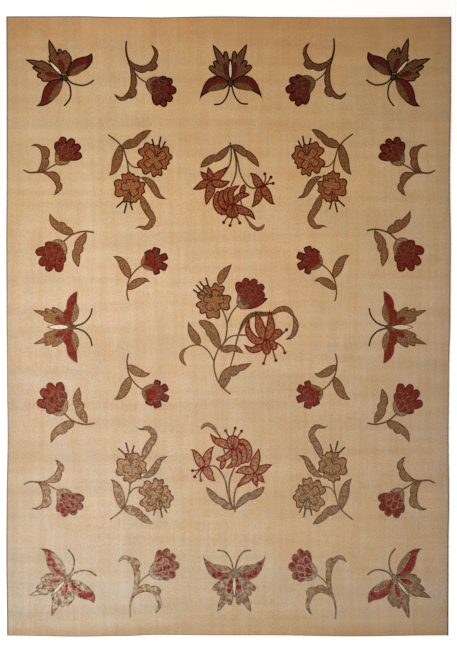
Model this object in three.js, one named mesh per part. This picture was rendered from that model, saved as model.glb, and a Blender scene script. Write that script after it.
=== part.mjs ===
// A hand-knotted Tibetan rug of room size, lying flat on a floor, pile upwards.
// Millimetres. +X runs across the rug to the right of its pattern, +Y along it to the top end, and +Z up.
// The origin is on the floor, under the middle of the rug.
import * as THREE from "three";

// Over both overcast sides, and over both turned-in ends.
const RUG_WIDTH = 3050;
const RUG_LENGTH = 4250;

// The flat-woven foundation holds the backs of the knots, and the clipped pile stands on it.
const FOUNDATION_THICKNESS = 3.6;
const PILE_HEIGHT = 6.4;

// The selvedge cord along each side, with its winding of yarn.
const OVERCAST_WIDTH = 9;
const OVERCAST_HEIGHT = 7.6;
const OVERCAST_FLAT = 5; // where the winding is pressed flat on the floor
const OVERCAST_ARC_STEPS = 8;

const SEAM_GAP = 0.3;

// How the pile rises from each edge. At the ends a lip of bare foundation, the turned-in hem, shows first.
// "inwards" is measured from the edge, and "rise" is the share of the pile's height.
const END_PROFILE = [
  { inwards: 0, height: 2.9, rise: 0 },
  { inwards: 0.8, height: FOUNDATION_THICKNESS, rise: 0 },
  { inwards: 5, height: FOUNDATION_THICKNESS, rise: 0 },
  { inwards: 5.8, height: FOUNDATION_THICKNESS, rise: 0.62 },
  { inwards: 8.5, height: FOUNDATION_THICKNESS, rise: 0.9 },
  { inwards: 15, height: FOUNDATION_THICKNESS, rise: 1 },
];
const SIDE_PROFILE = [
  { inwards: 0, height: FOUNDATION_THICKNESS, rise: 0.3 },
  { inwards: 1.2, height: FOUNDATION_THICKNESS, rise: 0.72 },
  { inwards: 4.5, height: FOUNDATION_THICKNESS, rise: 0.93 },
  { inwards: 12, height: FOUNDATION_THICKNESS, rise: 1 },
];

// How far each side lies inside the full width, from the bottom end (0) to the top end (1): a hand-woven rug
// is a little narrower at one end, and its selvedges waver.
const SIDE_WAVER = [
  { along: 0, left: 6, right: 20 },
  { along: 0.14, left: 0, right: 18 },
  { along: 0.22, left: 2, right: 14 },
  { along: 0.32, left: 9, right: 17 },
  { along: 0.42, left: 4, right: 14 },
  { along: 0.52, left: 2, right: 5 },
  { along: 0.63, left: 0, right: 2 },
  { along: 0.74, left: 3, right: 8 },
  { along: 0.88, left: 3, right: 1 },
  { along: 1, left: 1, right: 0 },
];

// How far each end lies inside the full length, from the left side (0) to the right side (1).
const END_WAVER = [
  { across: 0, bottom: 7, top: 1 },
  { across: 0.16, bottom: 0, top: 0 },
  { across: 0.26, bottom: 4, top: 6 },
  { across: 0.34, bottom: 12, top: 8 },
  { across: 0.48, bottom: 9, top: 1 },
  { across: 0.6, bottom: 9, top: 5 },
  { across: 0.78, bottom: 2, top: 7 },
  { across: 1, bottom: 9, top: 4 },
];

// Faint creases that run the length of the rug, from the way it was rolled up, and its slow unevenness.
const CREASES = [
  { across: -165, depth: 0.6, halfWidth: 45 },
  { across: 795, depth: 1.1, halfWidth: 32 },
  { across: 968, depth: 0.6, halfWidth: 45 },
];
const UNEVENNESS = [
  { height: 0.5, acrossWave: 1650, alongWave: 2300, phase: 0.4 },
  { height: 0.35, acrossWave: -910, alongWave: 1270, phase: 2.1 },
];

// The grid of the pile's face between the two edges' profiles.
const GRID_PITCH_ACROSS = 128;
const GRID_PITCH_ALONG = 125;

// A column of a table, smoothly interpolated between its rows by the cosine rule.
function tableValue(table, position, column, at) {
  const last = table.length - 1;
  const found = table.findIndex((row) => row[position] >= at);
  const upper = found < 0 ? last : Math.max(1, found);
  const low = table[upper - 1];
  const high = table[upper];
  const share = (at - low[position]) / (high[position] - low[position]);
  const eased = (1 - Math.cos(Math.PI * share)) / 2;
  return low[column] + (high[column] - low[column]) * eased;
}

// The rug's outer edges.
const leftEdge = (along) => -RUG_WIDTH / 2 + tableValue(SIDE_WAVER, "along", "left", along);
const rightEdge = (along) => RUG_WIDTH / 2 - tableValue(SIDE_WAVER, "along", "right", along);
const bottomEdge = (across) => -RUG_LENGTH / 2 + tableValue(END_WAVER, "across", "bottom", across);
const topEdge = (across) => RUG_LENGTH / 2 - tableValue(END_WAVER, "across", "top", across);

// The stations of a grid from one edge to the other: both edges' profiles, even steps between them, and any
// extra stations, such as a crease's bottom and its two shoulders.
function stations(length, profile, pitch, extras) {
  const edge = profile[profile.length - 1].inwards;
  const steps = Math.round((length - 2 * edge) / pitch);
  const step = (length - 2 * edge) / steps;
  const even = Array.from({ length: steps - 1 }, (_, i) => edge + (i + 1) * step);
  const clear = even.filter((at) => extras.every((extra) => Math.abs(at - extra) > pitch / 6));
  const ends = profile.flatMap((row) => [row.inwards, length - row.inwards]);
  return [...ends, ...clear, ...extras].sort((a, b) => a - b);
}

// The cloth's rows, which its side cords share so that both waver alike.
const alongStations = stations(RUG_LENGTH, END_PROFILE, GRID_PITCH_ALONG, []);

// The height of the foundation and the share of the pile at a distance inwards from an edge.
function edgeRow(profile, inwards) {
  const last = profile[profile.length - 1];
  if (inwards >= last.inwards) return { height: last.height, rise: last.rise };
  const upper = profile.findIndex((row) => row.inwards > inwards + 1e-6);
  return profile[upper - 1];
}

// The soft relief of the pile's face: its creases and its slow unevenness.
function relief(x, y) {
  const creased = CREASES.reduce((sum, crease) => {
    const away = (x - crease.across) / crease.halfWidth;
    return sum - crease.depth * Math.exp(-away * away);
  }, 0);
  return UNEVENNESS.reduce((sum, wave) => {
    const turn = 2 * Math.PI * (x / wave.acrossWave + y / wave.alongWave) + wave.phase;
    return sum + wave.height * Math.sin(turn);
  }, creased);
}

// A closed body from a grid of points on its upper face and a flat underside at floor level.
function bodyOnFloor(grid) {
  const rows = grid.length;
  const columns = grid[0].length;
  const vertices = grid.flat();
  const top = (row, column) => row * columns + column;
  const faces = [];
  for (let row = 0; row < rows - 1; row += 1) {
    for (let column = 0; column < columns - 1; column += 1) {
      const [a, b] = [top(row, column), top(row, column + 1)];
      const [c, d] = [top(row + 1, column + 1), top(row + 1, column)];
      faces.push([a, b, c], [a, c, d]);
    }
  }
  const rim = [];
  for (let column = 0; column < columns; column += 1) rim.push(top(0, column));
  for (let row = 1; row < rows; row += 1) rim.push(top(row, columns - 1));
  for (let column = columns - 2; column >= 0; column -= 1) rim.push(top(rows - 1, column));
  for (let row = rows - 2; row > 0; row -= 1) rim.push(top(row, 0));
  const foot = rim.map((index) => {
    vertices.push(new THREE.Vector3(vertices[index].x, vertices[index].y, 0));
    return vertices.length - 1;
  });
  rim.forEach((upper, i) => {
    const next = (i + 1) % rim.length;
    faces.push([upper, foot[i], foot[next]], [upper, foot[next], rim[next]]);
  });
  const outline = foot.map((index) => new THREE.Vector2(vertices[index].x, vertices[index].y));
  for (const [a, b, c] of THREE.ShapeUtils.triangulateShape(outline, [])) {
    faces.push([foot[a], foot[c], foot[b]]);
  }
  return bodyFrom(vertices, faces);
}

// A closed body through equal rings of points, one after the other, with a flat cap at both ends.
function bodyThroughRings(rings) {
  const count = rings[0].length;
  const vertices = rings.flat();
  const faces = [];
  for (let ring = 0; ring < rings.length - 1; ring += 1) {
    for (let i = 0; i < count; i += 1) {
      const next = (i + 1) % count;
      const [a, b] = [ring * count + i, ring * count + next];
      faces.push([a, b, b + count], [a, b + count, a + count]);
    }
  }
  const lastRing = (rings.length - 1) * count;
  for (let i = 1; i < count - 1; i += 1) {
    faces.push([0, i + 1, i], [lastRing, lastRing + i, lastRing + i + 1]);
  }
  return bodyFrom(vertices, faces);
}

function bodyFrom(vertices, faces) {
  const geometry = new THREE.BufferGeometry().setFromPoints(vertices);
  geometry.setIndex(faces.flat());
  geometry.computeVertexNormals();
  return geometry;
}

// The knotted cloth between the two selvedge cords.
function pileField() {
  const sideInset = OVERCAST_WIDTH + SEAM_GAP;
  const width = RUG_WIDTH - 2 * sideInset;
  const creaseStations = CREASES.flatMap((crease) =>
    [-1, 0, 1].map((side) => crease.across + side * crease.halfWidth + width / 2),
  );
  const acrossStations = stations(width, SIDE_PROFILE, GRID_PITCH_ACROSS, creaseStations);
  const grid = alongStations.map((fromBottom) =>
    acrossStations.map((fromLeft) => {
      const across = fromLeft / width;
      const along = fromBottom / RUG_LENGTH;
      const x = THREE.MathUtils.lerp(leftEdge(along) + sideInset, rightEdge(along) - sideInset, across);
      const y = THREE.MathUtils.lerp(bottomEdge(across), topEdge(across), along);
      const end = edgeRow(END_PROFILE, Math.min(fromBottom, RUG_LENGTH - fromBottom));
      const side = edgeRow(SIDE_PROFILE, Math.min(fromLeft, width - fromLeft));
      const rise = Math.min(end.rise, side.rise);
      const inside = end.rise === 1 && side.rise === 1;
      const height = Math.min(end.height, side.height) + PILE_HEIGHT * rise;
      return new THREE.Vector3(x, y, height + (inside ? relief(x, y) : 0));
    }),
  );
  return bodyOnFloor(grid);
}

// The section of a wound selvedge cord: a flat on the floor and an arch over it, anticlockwise from the right.
function overcastSection() {
  const arch = new THREE.EllipseCurve(
    0,
    OVERCAST_HEIGHT / 2,
    OVERCAST_WIDTH / 2,
    OVERCAST_HEIGHT / 2,
    -Math.PI / 8,
    (9 * Math.PI) / 8,
  );
  const points = arch.getPoints(OVERCAST_ARC_STEPS);
  return [...points, new THREE.Vector2(-OVERCAST_FLAT / 2, 0), new THREE.Vector2(OVERCAST_FLAT / 2, 0)];
}

// The cord along one side, from end to end. "across" is 0 on the left and 1 on the right.
function sideOvercast(edge, inwards, across) {
  const section = overcastSection();
  const rings = alongStations.map((fromBottom) => {
    const along = fromBottom / RUG_LENGTH;
    const middle = edge(along) + (inwards * OVERCAST_WIDTH) / 2;
    const y = THREE.MathUtils.lerp(bottomEdge(across), topEdge(across), along);
    return section.map((point) => new THREE.Vector3(middle + point.x, y, point.y));
  });
  return bodyThroughRings(rings.reverse());
}

function part(name, geometry, material) {
  const mesh = new THREE.Mesh(geometry, material);
  mesh.name = name;
  return mesh;
}

const woolPile = new THREE.MeshStandardMaterial({ color: 0xbc9e7c, roughness: 0.96, metalness: 0 });
const overcastYarn = new THREE.MeshStandardMaterial({ color: 0x86704f, roughness: 0.9, metalness: 0 });

const rug = new THREE.Group();
rug.add(part("pile_field", pileField(), woolPile));
rug.add(part("side_overcast_left", sideOvercast(leftEdge, 1, 0), overcastYarn));
rug.add(part("side_overcast_right", sideOvercast(rightEdge, -1, 1), overcastYarn));

// The wavering edges leave the middle of the outline a little off, so the group is set on its own middle.
const outline = new THREE.Box3().setFromObject(rug);
const middle = outline.getCenter(new THREE.Vector3());
rug.position.set(-middle.x, -middle.y, -outline.min.z);

export default rug;
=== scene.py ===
import bisect
import math

import bpy
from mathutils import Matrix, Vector


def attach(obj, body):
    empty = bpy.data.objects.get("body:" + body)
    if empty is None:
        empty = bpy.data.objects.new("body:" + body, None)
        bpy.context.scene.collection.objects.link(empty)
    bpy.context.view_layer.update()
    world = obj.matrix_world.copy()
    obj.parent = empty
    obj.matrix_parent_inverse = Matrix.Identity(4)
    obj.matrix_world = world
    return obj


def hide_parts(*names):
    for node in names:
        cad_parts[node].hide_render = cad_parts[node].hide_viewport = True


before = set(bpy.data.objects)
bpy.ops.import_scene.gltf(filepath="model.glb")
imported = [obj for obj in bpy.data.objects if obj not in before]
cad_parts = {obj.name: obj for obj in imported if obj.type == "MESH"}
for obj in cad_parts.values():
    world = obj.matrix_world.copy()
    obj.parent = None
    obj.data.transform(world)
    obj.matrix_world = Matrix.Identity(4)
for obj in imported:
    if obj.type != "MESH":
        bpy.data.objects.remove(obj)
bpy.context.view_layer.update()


# The knotted field: wool pile tied row by row on a flat foundation and clipped level. One cloth, with both
# ends turned in and sewn down, so that a lip of bare foundation shows along them before the pile begins.
RUG_WIDTH = 3.05
RUG_LENGTH = 4.25
FOUNDATION = 0.0036
PILE = 0.0064
FIELD_TOP = FOUNDATION + PILE
OVERCAST_WIDTH = 0.009
SEAM_GAP = 0.0003
SIDE_INSET = OVERCAST_WIDTH + SEAM_GAP

# How the pile rises from each edge: distance inwards, height of the foundation, share of the pile.
END_PROFILE = [
    (0, 0.0029, 0),
    (0.0008, FOUNDATION, 0),
    (0.005, FOUNDATION, 0),
    (0.0058, FOUNDATION, 0.62),
    (0.0085, FOUNDATION, 0.9),
    (0.015, FOUNDATION, 1),
]
SIDE_PROFILE = [
    (0, FOUNDATION, 0.3),
    (0.0012, FOUNDATION, 0.72),
    (0.0045, FOUNDATION, 0.93),
    (0.012, FOUNDATION, 1),
]

# How far each side lies inside the full width, from the bottom end (0) to the top (1): along, left, right.
SIDE_WAVER = [
    (0, 0.006, 0.02),
    (0.14, 0, 0.018),
    (0.22, 0.002, 0.014),
    (0.32, 0.009, 0.017),
    (0.42, 0.004, 0.014),
    (0.52, 0.002, 0.005),
    (0.63, 0, 0.002),
    (0.74, 0.003, 0.008),
    (0.88, 0.003, 0.001),
    (1, 0.001, 0),
]

# How far each end lies inside the full length, from the left side (0) to the right (1): across, bottom, top.
END_WAVER = [
    (0, 0.007, 0.001),
    (0.16, 0, 0),
    (0.26, 0.004, 0.006),
    (0.34, 0.012, 0.008),
    (0.48, 0.009, 0.001),
    (0.6, 0.009, 0.005),
    (0.78, 0.002, 0.007),
    (1, 0.009, 0.004),
]

# Faint creases along the rug from the way it was rolled up: place across, depth, half-width.
CREASES = [(-0.165, 0.0005, 0.05), (0.795, 0.0006, 0.05), (0.968, 0.0005, 0.05)]
# Its slow unevenness: height, wavelength across and along, phase.
UNEVENNESS = [(0.0005, 1.65, 2.3, 0.4), (0.00035, -0.91, 1.27, 2.1)]
FIELD_PITCH_ACROSS = 0.03
FIELD_PITCH_ALONG = 0.05
FIELD_SMOOTH_ANGLE = 38
ON_A_ROW = 1e-6
LIP_MARGIN = 0.0001


def table_value(table, column, at):
    """A column of a table, eased between its rows by the cosine rule."""
    upper = min(max(1, bisect.bisect_left([row[0] for row in table], at)), len(table) - 1)
    low, high = table[upper - 1], table[upper]
    share = (at - low[0]) / (high[0] - low[0])
    eased = (1 - math.cos(math.pi * share)) / 2
    return low[column] + (high[column] - low[column]) * eased


def left_edge(along):
    return -RUG_WIDTH / 2 + table_value(SIDE_WAVER, 1, along)


def right_edge(along):
    return RUG_WIDTH / 2 - table_value(SIDE_WAVER, 2, along)


def bottom_edge(across):
    return -RUG_LENGTH / 2 + table_value(END_WAVER, 1, across)


def top_edge(across):
    return RUG_LENGTH / 2 - table_value(END_WAVER, 2, across)


def between(low, high, share):
    return low + (high - low) * share


def relief(x, y):
    """The soft relief of the pile's face."""
    height = 0
    for across, depth, half_width in CREASES:
        height -= depth * math.exp(-(((x - across) / half_width) ** 2))
    for rise, across_wave, along_wave, phase in UNEVENNESS:
        height += rise * math.sin(2 * math.pi * (x / across_wave + y / along_wave) + phase)
    return height


def stations(length, profile, pitch):
    """The places of the cloth's rows: both edges' profiles, and even steps between them."""
    edge = profile[-1][0]
    steps = round((length - 2 * edge) / pitch)
    inner = [edge + (length - 2 * edge) * i / steps for i in range(1, steps)]
    ends = [row[0] for row in profile]
    return sorted(ends + inner + [length - end for end in ends])


def edge_row(profile, inwards):
    return profile[bisect.bisect_right([row[0] for row in profile], inwards + ON_A_ROW) - 1]


def deselect_all():
    if bpy.context.object and bpy.context.object.mode != "OBJECT":
        bpy.ops.object.mode_set(mode="OBJECT")
    bpy.ops.object.select_all(action="DESELECT")


def begin_edit(piece, kind):
    deselect_all()
    piece.select_set(True)
    bpy.context.view_layer.objects.active = piece
    bpy.ops.object.mode_set(mode="EDIT")
    bpy.ops.mesh.select_mode(type=kind)
    bpy.ops.mesh.select_all(action="DESELECT")


def end_edit():
    bpy.ops.object.mode_set(mode="OBJECT")


def weave_field():
    width = RUG_WIDTH - 2 * SIDE_INSET
    across_stations = stations(width, SIDE_PROFILE, FIELD_PITCH_ACROSS)
    along_stations = stations(RUG_LENGTH, END_PROFILE, FIELD_PITCH_ALONG)
    columns, rows = len(across_stations) - 1, len(along_stations) - 1
    deselect_all()
    bpy.ops.mesh.primitive_grid_add(x_subdivisions=columns, y_subdivisions=rows, size=1)
    field = bpy.context.object
    field.name = "pile_field_cloth"
    for vertex in field.data.vertices:
        from_left = across_stations[round((vertex.co.x + 0.5) * columns)]
        from_bottom = along_stations[round((vertex.co.y + 0.5) * rows)]
        across, along = from_left / width, from_bottom / RUG_LENGTH
        x = between(left_edge(along) + SIDE_INSET, right_edge(along) - SIDE_INSET, across)
        y = between(bottom_edge(across), top_edge(across), along)
        end = edge_row(END_PROFILE, min(from_bottom, RUG_LENGTH - from_bottom))
        side = edge_row(SIDE_PROFILE, min(from_left, width - from_left))
        rise = min(end[2], side[2])
        height = min(end[1], side[1]) + PILE * rise
        vertex.co = (x, y, height + relief(x, y) * (rise == 1))
    begin_edit(field, "EDGE")
    bpy.ops.mesh.select_non_manifold()
    bpy.ops.mesh.extrude_edges_move()
    bpy.ops.transform.resize(value=(1, 1, 0), center_override=(0, 0, 0))
    bpy.ops.mesh.edge_face_add()
    bpy.ops.mesh.select_all(action="SELECT")
    bpy.ops.mesh.normals_make_consistent(inside=False)
    end_edit()
    bpy.ops.object.shade_smooth_by_angle(angle=math.radians(FIELD_SMOOTH_ANGLE))
    return field


def dyed(code):
    """A yarn's colour, from the six-digit shade on a dyer's card, as Blender's linear colour."""
    parts = [int(code[i : i + 2], 16) / 255 for i in (0, 2, 4)]
    return [p / 12.92 if p <= 0.04045 else ((p + 0.055) / 1.055) ** 2.4 for p in parts] + [1]


def finish_of(name, roughness, **settings):
    """A new material and its shader, with constant values on the shader's own sockets."""
    material = bpy.data.materials.new(name)
    material.use_nodes = True
    surface = material.node_tree.nodes["Principled BSDF"]
    surface.inputs["Roughness"].default_value = roughness
    for socket, value in settings.items():
        surface.inputs[socket.replace("_", " ").title()].default_value = value
    return material, surface


def node(material, kind, inputs=(), **settings):
    """A shader node, with each input set to a value or linked to another node's output."""
    made = material.node_tree.nodes.new("ShaderNode" + kind)
    for name, value in settings.items():
        setattr(made, name, value)
    for name, value in dict(inputs).items():
        if isinstance(value, bpy.types.NodeSocket):
            material.node_tree.links.new(value, made.inputs[name])
        else:
            made.inputs[name].default_value = value
    return made


def noise(material, place, scale, detail):
    return node(material, "TexNoise", {"Vector": place, "Scale": scale, "Detail": detail}).outputs["Fac"]


def spread(material, value, low, high, to_low=0.0, to_high=1.0):
    inputs = {"Value": value, "From Min": low, "From Max": high, "To Min": to_low, "To Max": to_high}
    return node(material, "MapRange", inputs).outputs["Result"]


def place_on_rug(material):
    """The place on the rug, and its shares of the way up from the bottom end and over from the left side."""
    place = node(material, "TexCoord").outputs["Object"]
    parts = node(material, "SeparateXYZ", {"Vector": place}).outputs
    along = spread(material, parts["Y"], -RUG_LENGTH / 2, RUG_LENGTH / 2)
    across = spread(material, parts["X"], -RUG_WIDTH / 2, RUG_WIDTH / 2)
    return place, along, across


def shades(material, value, stops):
    """The colour at a value between the stops of a row of dyes."""
    ramp = node(material, "ValToRGB", {"Fac": value})
    elements = ramp.color_ramp.elements
    while len(elements) < len(stops):
        elements.new(0.5)
    for element, (position, code) in zip(elements, stops):
        element.position = position
        element.color = dyed(code)
    return ramp.outputs["Color"]


def blended(material, share, first, second, blend_type="MIX"):
    made = node(material, "Mix", data_type="RGBA", blend_type=blend_type)
    for socket, value in zip((made.inputs[0], made.inputs[6], made.inputs[7]), (share, first, second)):
        if isinstance(value, bpy.types.NodeSocket):
            material.node_tree.links.new(value, socket)
        else:
            socket.default_value = value
    return made.outputs[2]


def deepened(material, dye, tint):
    return blended(material, 1.0, dye, tint, "MULTIPLY")


def connect(material, output, target):
    material.node_tree.links.new(output, target)


# The wool's shade from the bottom end (0) to the top (1): partly the wool's own uneven dye and partly painted
# light, paler towards the lit bottom end and deeper towards the top.
WOOL_DYE_AND_LIGHT_ALONG = [
    (0.004, "b8a188"),
    (0.02, "bfb09f"),
    (0.07, "c4b9af"),
    (0.17, "cbbaa9"),
    (0.38, "d0bba8"),
    (0.54, "dac2aa"),
    (0.72, "d6bb9a"),
    (0.85, "ceb290"),
    (0.93, "caab86"),
    (0.985, "c39d73"),
]

# How it deepens from the left side (0) to the right (1), over most of the rug and near its bottom end: partly
# the wool's own uneven dye and partly painted shade, away from the light at the left.
# LOW_END says from where to where the second takes over from the first.
WOOL_DYE_AND_SHADE_ACROSS = [
    (0.005, "eceae6", "eceae6"),
    (0.04, "f7f6f4", "f7f6f4"),
    (0.18, "ffffff", "ffffff"),
    (0.4, "fbf6ec", "fbf6ec"),
    (0.64, "f1e8d9", "f4e8d6"),
    (0.76, "e9e2d3", "f0e2cf"),
    (0.94, "dcd7cf", "e4d7c7"),
    (0.99, "d0cbc4", "d8cdc1"),
]
LOW_END = (0.45, 0.12)

# The mottling of its yarn, from broad clouds to single knots, and the streaks across the rug and along it
# that the yarn's batches and the warp leave: stretch, scale and detail of the noise, both tints.
WOOL_MOTTLES = [
    ((1, 0.8, 1), 1.7, 2, "f9f7f0", "fbfdfe"),
    ((1, 0.7, 1), 9, 2, "fcf6ec", "fdfeff"),
    ((1, 0.7, 1), 48, 2, "fff8f2", "fafcfb"),
    ((0.06, 1, 1), 14, 3, "f6f5f2", "ffffff"),
    ((1, 0.05, 1), 34, 2, "f8f7f5", "ffffff"),
    ((1, 1, 1), 120, 2, "efe4d6", "fdfeff"),
]
MOTTLE_FROM, MOTTLE_TO = 0.36, 0.64
KNOT_BUMP_SCALE = 260
KNOT_BUMP_HEIGHT = 0.002
KNOT_BUMP_STRENGTH = 0.35
WOOL_ROUGHNESS = 0.94
WOOL_SPECULAR = 0.15
WOOL_SHEEN = 0.15


def mottled(material, dye, place, stretch, scale, detail, first, second):
    spot = node(material, "Mapping", {"Vector": place, "Scale": stretch}).outputs["Vector"]
    stops = [(MOTTLE_FROM, first), (MOTTLE_TO, second)]
    return deepened(material, dye, shades(material, noise(material, spot, scale, detail), stops))


def wool_pile():
    material, surface = finish_of("wool_pile", WOOL_ROUGHNESS, sheen_weight=WOOL_SHEEN, sheen_roughness=0.5)
    surface.inputs["Specular IOR Level"].default_value = WOOL_SPECULAR
    place, along, across = place_on_rug(material)
    # Partly painted shade: the wool deeper towards the right, away from the light at the left.
    high, low = [shades(material, across, [(row[0], row[i]) for row in WOOL_DYE_AND_SHADE_ACROSS]) for i in (1, 2)]
    dye_and_painted_shade = blended(material, spread(material, along, *LOW_END), high, low)
    # Partly painted light: the wool paler towards the lit bottom end and deeper towards the top.
    dye = deepened(material, shades(material, along, WOOL_DYE_AND_LIGHT_ALONG), dye_and_painted_shade)
    for mottle in WOOL_MOTTLES:
        dye = mottled(material, dye, place, *mottle)
    connect(material, dye, surface.inputs["Base Color"])
    height = noise(material, place, KNOT_BUMP_SCALE, 3)
    bump = {"Height": height, "Strength": KNOT_BUMP_STRENGTH, "Distance": KNOT_BUMP_HEIGHT}
    connect(material, node(material, "Bump", bump).outputs["Normal"], surface.inputs["Normal"])
    return material


# The bottom end's bare foundation is brown. The top end's goes from dark olive at the left to orange brown,
# partly its own colour and partly painted shade along that edge.
END_ROUGHNESS = 0.9
BOTTOM_END = "775730"
TOP_END_DYE_AND_SHADE_ACROSS = [(0.45, "2c2208"), (0.62, "6a3c12"), (0.93, "683f1c"), (0.99, "4a3620")]


def turned_in_end():
    material, surface = finish_of("turned_in_end", END_ROUGHNESS)
    place, along, across = place_on_rug(material)
    # Along the top end the dark colour is partly painted shade.
    dye = blended(material, along, dyed(BOTTOM_END), shades(material, across, TOP_END_DYE_AND_SHADE_ACROSS))
    connect(material, dye, surface.inputs["Base Color"])
    return material


field = weave_field()
field.data.materials.append(wool_pile())
field.data.materials.append(turned_in_end())
for face in field.data.polygons:
    near_end = all(field.data.vertices[i].co.z < FOUNDATION + LIP_MARGIN for i in face.vertices)
    face.material_index = 1 if near_end else 0
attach(field, "root")
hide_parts("pile_field")


# The side overcasts: a cord of the outermost warps along each selvedge, wound closely with plied olive wool
# that is sewn through the edge of the cloth at every turn.
OVERCAST_HEIGHT = 0.0076
TURN_PITCH = 0.0035
TURN_YARN = 0.0021
TURN_SLANT = 0.0012
TURN_STEPS = 12
YARN_SIDES = 5
TURNS = round(RUG_LENGTH / TURN_PITCH) - 2
OVERCAST_ROUGHNESS = 0.9
OVERCAST_SHEEN = 0.2
OVERCAST_ALONG = [
    (0.03, "7c5f3c"),
    (0.12, "8d6e46"),
    (0.28, "9c7d52"),
    (0.4, "b09064"),
    (0.55, "9a7c50"),
    (0.9, "93713f"),
]
# Painted shade: the right side's overcast is deeper, away from the light at the left.
OVERCAST_PAINTED_SHADE_ACROSS = [(0.4, "ffffff"), (0.6, "cdc8c0")]


def wind_overcast(name, edge, inwards, across):
    """One turn of the yarn, a slanted flattened ring, repeated along an edge of the cloth."""
    deselect_all()
    bpy.ops.mesh.primitive_torus_add(
        major_radius=OVERCAST_WIDTH / 2 - TURN_YARN / 2,
        minor_radius=TURN_YARN / 2,
        major_segments=TURN_STEPS,
        minor_segments=YARN_SIDES,
        rotation=(math.pi / 2, 0, 0),
    )
    turn = bpy.context.object
    turn.name = name
    bpy.ops.object.transform_apply(location=False, rotation=True, scale=True)
    flatten = OVERCAST_HEIGHT / OVERCAST_WIDTH
    for vertex in turn.data.vertices:
        vertex.co.y += vertex.co.x / OVERCAST_WIDTH * TURN_SLANT
        vertex.co.z = vertex.co.z * flatten + OVERCAST_HEIGHT / 2
    rows = turn.modifiers.new("turns", "ARRAY")
    rows.count = TURNS
    rows.use_relative_offset = False
    rows.use_constant_offset = True
    rows.constant_offset_displace = (0, TURN_PITCH, 0)
    bpy.ops.object.modifier_apply(modifier=rows.name)
    low, high = bottom_edge(across), top_edge(across)
    shift = (low + high) / 2 - (TURNS - 1) * TURN_PITCH / 2
    for vertex in turn.data.vertices:
        vertex.co.y += shift
        along = min(max((vertex.co.y - low) / (high - low), 0), 1)
        vertex.co.x += edge(along) + inwards * OVERCAST_WIDTH / 2
    bpy.ops.object.shade_smooth()
    return turn


def overcast_yarn():
    material, surface = finish_of("overcast_yarn", OVERCAST_ROUGHNESS, sheen_weight=OVERCAST_SHEEN)
    place, along, across = place_on_rug(material)
    dye = shades(material, along, OVERCAST_ALONG)
    # Painted shade on the right side's overcast.
    dye = deepened(material, dye, shades(material, across, OVERCAST_PAINTED_SHADE_ACROSS))
    connect(material, dye, surface.inputs["Base Color"])
    return material


olive_yarn = overcast_yarn()
cord_rows = [("side_overcast_left", left_edge, 1, 0), ("side_overcast_right", right_edge, -1, 1)]
for node_name, edge, inwards, across in cord_rows:
    overcast = wind_overcast(node_name + "_yarn", edge, inwards, across)
    overcast.data.materials.append(olive_yarn)
    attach(overcast, "root")
    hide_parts(node_name)


# The butterflies: eight figures knotted in dyed silk with the wool and clipped along their lines, so that
# each wing stands a hair above the pile and above the one below. Like all figures they are charted in knots.
KNOT = 0.00254

# Metres: how far the silk stands over the wool, each layer over the one below, and the middle of a form over
# its rim, and how deep its sides go down into the pile.
FIGURE_LIFT = 0.0005
LAYER_RISE = 0.00008
RIM_ROUNDING = 0.0003
SILK_DEPTH = 0.002
FIGURE_SMOOTH_ANGLE = 40

# Painted shade: the silk deepens towards the right, away from the light at the left. Its painted sheen, pale
# patches where light would glint, strongest towards the bottom left: how much shows from end to end and from
# side to side, its colour, and the scale and bounds of the noise that breaks it up. The flecks of its knots,
# in two sizes.
SILK_PAINTED_SHADE_ACROSS = [(0.12, "ffffff"), (0.32, "f6f5f4"), (0.5, "e8e7e5"), (0.7, "e2e1df"), (0.88, "d9d7d5")]
PAINTED_SHEEN_ALONG = [(0.05, "d8d8d8"), (0.2, "a8a8a8"), (0.4, "606060"), (0.65, "202020"), (0.9, "000000")]
PAINTED_SHEEN_ACROSS = [(0.12, "ffffff"), (0.9, "686868")]
PAINTED_SHEEN = "d3c6b2"
PAINTED_SHEEN_SCALE = 44
PAINTED_SHEEN_FROM, PAINTED_SHEEN_TO = 0.42, 0.62
FLECK = "a59787"
FLECK_SCALE = 105
SOFT_FLECK = "dfd6cc"
SOFT_FLECK_SCALE = 72
SILK_ROUGHNESS = 0.7
SILK_SPECULAR = 0.06


def silk(name, stops, painted_sheen=0.75, fleck=FLECK):
    """A silk yarn: its shades from the rug's bottom end (0) to the top (1), paler towards the bottom end
    partly as painted sheen, its painted sheen patches and its flecks.
    """
    material, surface = finish_of(name, SILK_ROUGHNESS)
    surface.inputs["Specular IOR Level"].default_value = SILK_SPECULAR
    place, along, across = place_on_rug(material)
    dye = shades(material, along, stops)
    for scale, tint in ((FLECK_SCALE, fleck), (SOFT_FLECK_SCALE, SOFT_FLECK)):
        dye = mottled(material, dye, place, (1, 1, 1), scale, 2, tint, "ffffff")
    # Painted shade: the silk deeper towards the right.
    dye = deepened(material, dye, shades(material, across, SILK_PAINTED_SHADE_ACROSS))
    # Painted sheen: pale patches, strongest towards the bottom left and fading to the right.
    painted_sheen_reach = shades(material, along, PAINTED_SHEEN_ALONG)
    painted_sheen_reach = deepened(material, painted_sheen_reach, shades(material, across, PAINTED_SHEEN_ACROSS))
    clouds = spread(material, noise(material, place, PAINTED_SHEEN_SCALE, 3), PAINTED_SHEEN_FROM, PAINTED_SHEEN_TO, 0, painted_sheen)
    share = node(material, "Math", {0: painted_sheen_reach, 1: clouds}, operation="MULTIPLY").outputs[0]
    dye = blended(material, share, dye, dyed(PAINTED_SHEEN))
    connect(material, dye, surface.inputs["Base Color"])
    return material


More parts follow.
